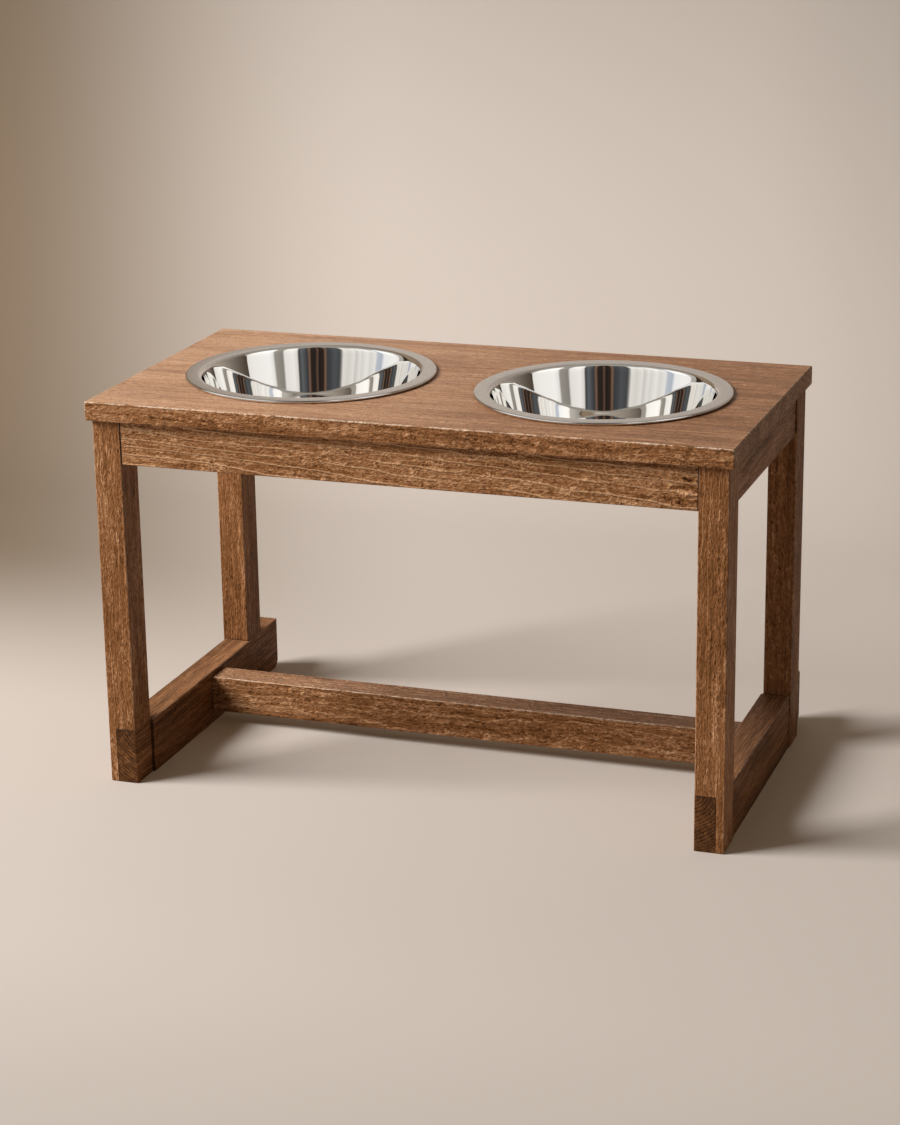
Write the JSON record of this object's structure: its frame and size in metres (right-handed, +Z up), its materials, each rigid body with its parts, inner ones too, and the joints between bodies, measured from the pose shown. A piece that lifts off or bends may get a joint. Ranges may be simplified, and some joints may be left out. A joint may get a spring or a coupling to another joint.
{
  "type": "elevated dog feeder",
  "caption": "Low solid-wood table with lapped foot rails and a stretcher, holding rolled-rim steel bowls in round cut-outs, lift-out for cleaning.",
  "frame": {"origin": "on the floor, under the middle of the overall size", "axes": "+X along the length, +Z up, the front of the stand faces -Y"},
  "size_m": [0.64, 0.372, 0.3966],
  "materials": {
    "stained_wood": "brown stain, satin, open grain",
    "strip_wood": "bare planed",
    "tenon_wood": "bare planed",
    "zinc_steel": "zinc plated",
    "polished_steel": "mirror inside, satin rim"
  },
  "bodies": {
    "stand": {"top_board": "stained_wood", "front_left_leg": "stained_wood", "front_right_leg": "stained_wood", "back_left_leg": "stained_wood", "back_right_leg": "stained_wood", "front_apron": "stained_wood", "back_apron": "stained_wood", "left_apron": "stained_wood", "right_apron": "stained_wood", "left_foot_rail": "stained_wood", "right_foot_rail": "stained_wood", "stretcher": "stained_wood", "front_cleat": "strip_wood", "back_cleat": "strip_wood", "front_apron_tenons": "tenon_wood", "back_apron_tenons": "tenon_wood", "left_apron_tenons": "tenon_wood", "right_apron_tenons": "tenon_wood", "left_foot_tenons": "tenon_wood", "right_foot_tenons": "tenon_wood", "stretcher_tenons": "tenon_wood", "top_screws": "zinc_steel"},
    "left_bowl": {"left_bowl": "polished_steel"},
    "right_bowl": {"right_bowl": "polished_steel"}
  },
  "joints": [
    {"name": "left_bowl_lift", "type": "slide", "parent": "stand", "child": "left_bowl", "axis": [0, 0, 1], "range_m": [0, 0.12]},
    {"name": "right_bowl_lift", "type": "slide", "parent": "stand", "child": "right_bowl", "axis": [0, 0, 1], "range_m": [0, 0.12]}
  ]
}
